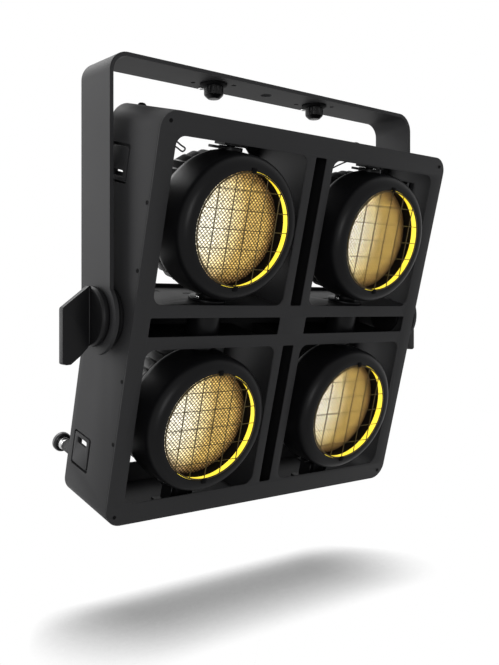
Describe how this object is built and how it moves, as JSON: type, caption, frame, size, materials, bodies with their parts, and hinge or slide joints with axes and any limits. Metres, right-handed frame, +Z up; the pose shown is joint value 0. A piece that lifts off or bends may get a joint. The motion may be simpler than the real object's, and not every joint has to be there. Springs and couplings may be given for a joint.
{
  "type": "audience blinder light",
  "caption": "Square stage blinder light with panning round lamp pods behind wire guards, in an open sheet housing hung in a flat strap yoke.",
  "frame": {"origin": "centre of the hanging hole in the yoke bar's top face", "axes": "+Z up, -Y the way the light shines, +X to the right as seen from the front; the tilt axis lies along X, 247 mm below the origin"},
  "size_m": [0.5, 0.2145, 0.4514],
  "materials": {
    "housing_paint": "satin black powder coat",
    "cast_black": "satin black paint on die casting",
    "fins_black": "black anodised fins",
    "knob_black": "moulded black plastic",
    "steel": "plain turned steel",
    "rubber_black": "dull black",
    "lens_amber": "patterned amber lens, frosted",
    "glow_yellow": "translucent yellow diffuser",
    "reflector": "bright spun aluminium",
    "wire_dark": "dark plated wire",
    "display_dark": "smoked window",
    "supply_metal": "bright sheet metal",
    "button_grey": "moulded grey plastic"
  },
  "bodies": {
    "yoke": {"yoke": "housing_paint", "clamp_socket_left": "rubber_black", "clamp_socket_right": "rubber_black"},
    "housing": {"housing_shell": "housing_paint", "front_frame": "housing_paint", "cross_beam": "housing_paint", "tilt_bush_left": "steel", "tilt_bush_right": "steel", "pivot_hub_left": "cast_black", "pivot_hub_right": "cast_black", "pivot_post_upper_left": "cast_black", "pivot_post_upper_right": "cast_black", "pivot_post_lower_left": "cast_black", "pivot_post_lower_right": "cast_black", "driver_box": "housing_paint", "power_supply": "supply_metal", "display_window": "display_dark", "power_inlet": "rubber_black", "power_outlet": "rubber_black", "data_connectors": "rubber_black"},
    "tilt_knob_left": {"tilt_knob_left": "knob_black"},
    "tilt_knob_right": {"tilt_knob_right": "knob_black"},
    "pod_upper_left": {"bezel_upper_left": "cast_black", "heat_sink_upper_left": "fins_black", "led_module_upper_left": "reflector", "lens_upper_left": "lens_amber", "glow_ring_upper_left": "glow_yellow", "wire_guard_upper_left": "wire_dark", "lead_upper_left": "rubber_black"},
    "pod_upper_right": {"bezel_upper_right": "cast_black", "heat_sink_upper_right": "fins_black", "led_module_upper_right": "reflector", "lens_upper_right": "lens_amber", "glow_ring_upper_right": "glow_yellow", "wire_guard_upper_right": "wire_dark", "lead_upper_right": "rubber_black"},
    "pod_lower_left": {"bezel_lower_left": "cast_black", "heat_sink_lower_left": "fins_black", "led_module_lower_left": "reflector", "lens_lower_left": "lens_amber", "glow_ring_lower_left": "glow_yellow", "wire_guard_lower_left": "wire_dark"},
    "pod_lower_right": {"bezel_lower_right": "cast_black", "heat_sink_lower_right": "fins_black", "led_module_lower_right": "reflector", "lens_lower_right": "lens_amber", "glow_ring_lower_right": "glow_yellow", "wire_guard_lower_right": "wire_dark"},
    "link_arm_upper_left": {"link_arm_upper_left": "housing_paint"},
    "link_arm_upper_right": {"link_arm_upper_right": "housing_paint"},
    "link_arm_lower_left": {"link_arm_lower_left": "housing_paint"},
    "link_arm_lower_right": {"link_arm_lower_right": "housing_paint"},
    "thumb_screw_upper_left": {"thumb_screw_upper_left": "rubber_black"},
    "thumb_screw_upper_right": {"thumb_screw_upper_right": "rubber_black"},
    "thumb_screw_lower_left": {"thumb_screw_lower_left": "rubber_black"},
    "thumb_screw_lower_right": {"thumb_screw_lower_right": "rubber_black"},
    "menu_button_1": {"menu_button_1": "button_grey"},
    "menu_button_2": {"menu_button_2": "button_grey"},
    "menu_button_3": {"menu_button_3": "button_grey"},
    "menu_button_4": {"menu_button_4": "button_grey"}
  },
  "joints": [
    {"name": "housing_tilt", "type": "hinge", "parent": "yoke", "child": "housing", "pos_m": [0, 0, -0.247], "axis": [1, 0, 0], "range_deg": [-104.6, 75.4]},
    {"name": "tilt_knob_left_turn", "type": "hinge", "parent": "housing", "child": "tilt_knob_left", "pos_m": [-0.222, 0, -0.247], "axis": [1, 0, 0], "continuous": true},
    {"name": "tilt_knob_right_turn", "type": "hinge", "parent": "housing", "child": "tilt_knob_right", "pos_m": [0.222, 0, -0.247], "axis": [1, 0, 0], "continuous": true},
    {"name": "pod_upper_left_pan", "type": "hinge", "parent": "housing", "child": "pod_upper_left", "pos_m": [-0.1, -0.04263, -0.15477], "axis": [0, -0.2521, 0.9677], "range_deg": [-15, 15]},
    {"name": "pod_upper_right_pan", "type": "hinge", "parent": "housing", "child": "pod_upper_right", "pos_m": [0.1, -0.04263, -0.15477], "axis": [0, -0.2521, 0.9677], "range_deg": [-15, 15]},
    {"name": "pod_lower_left_pan", "type": "hinge", "parent": "housing", "child": "pod_lower_left", "pos_m": [-0.1, 0.00779, -0.34831], "axis": [0, -0.2521, 0.9677], "range_deg": [-15, 15]},
    {"name": "pod_lower_right_pan", "type": "hinge", "parent": "housing", "child": "pod_lower_right", "pos_m": [0.1, 0.00779, -0.34831], "axis": [0, -0.2521, 0.9677], "range_deg": [-15, 15]},
    {"name": "link_arm_upper_left_swing", "type": "hinge", "parent": "housing", "child": "link_arm_upper_left", "pos_m": [-0.196, -0.0156, -0.11569], "axis": [0, -0.9677, -0.2521], "range_deg": [0, 18]},
    {"name": "link_arm_upper_right_swing", "type": "hinge", "parent": "housing", "child": "link_arm_upper_right", "pos_m": [0.196, -0.0156, -0.11569], "axis": [0, 0.9677, 0.2521], "range_deg": [0, 18]},
    {"name": "link_arm_lower_left_swing", "type": "hinge", "parent": "housing", "child": "link_arm_lower_left", "pos_m": [-0.196, 0.05044, -0.36923], "axis": [0, 0.9677, 0.2521], "range_deg": [0, 90]},
    {"name": "link_arm_lower_right_swing", "type": "hinge", "parent": "housing", "child": "link_arm_lower_right", "pos_m": [0.196, 0.05044, -0.36923], "axis": [0, -0.9677, -0.2521], "range_deg": [0, 90]},
    {"name": "thumb_screw_upper_left_turn", "type": "hinge", "parent": "housing", "child": "thumb_screw_upper_left", "pos_m": [-0.1915, 0.02732, -0.07816], "axis": [0, 0.9677, 0.2521], "continuous": true},
    {"name": "thumb_screw_upper_right_turn", "type": "hinge", "parent": "housing", "child": "thumb_screw_upper_right", "pos_m": [0.1915, 0.02732, -0.07816], "axis": [0, 0.9677, 0.2521], "continuous": true},
    {"name": "thumb_screw_lower_left_turn", "type": "hinge", "parent": "housing", "child": "thumb_screw_lower_left", "pos_m": [-0.1915, 0.10622, -0.38105], "axis": [0, 0.9677, 0.2521], "continuous": true},
    {"name": "thumb_screw_lower_right_turn", "type": "hinge", "parent": "housing", "child": "thumb_screw_lower_right", "pos_m": [0.1915, 0.10622, -0.38105], "axis": [0, 0.9677, 0.2521], "continuous": true},
    {"name": "menu_button_1_press", "type": "slide", "parent": "housing", "child": "menu_button_1", "axis": [0, -0.9677, -0.2521], "range_m": [0, 0.0015], "stiffness_N_per_m": 300},
    {"name": "menu_button_2_press", "type": "slide", "parent": "housing", "child": "menu_button_2", "axis": [0, -0.9677, -0.2521], "range_m": [0, 0.0015], "stiffness_N_per_m": 300},
    {"name": "menu_button_3_press", "type": "slide", "parent": "housing", "child": "menu_button_3", "axis": [0, -0.9677, -0.2521], "range_m": [0, 0.0015], "stiffness_N_per_m": 300},
    {"name": "menu_button_4_press", "type": "slide", "parent": "housing", "child": "menu_button_4", "axis": [0, -0.9677, -0.2521], "range_m": [0, 0.0015], "stiffness_N_per_m": 300}
  ]
}
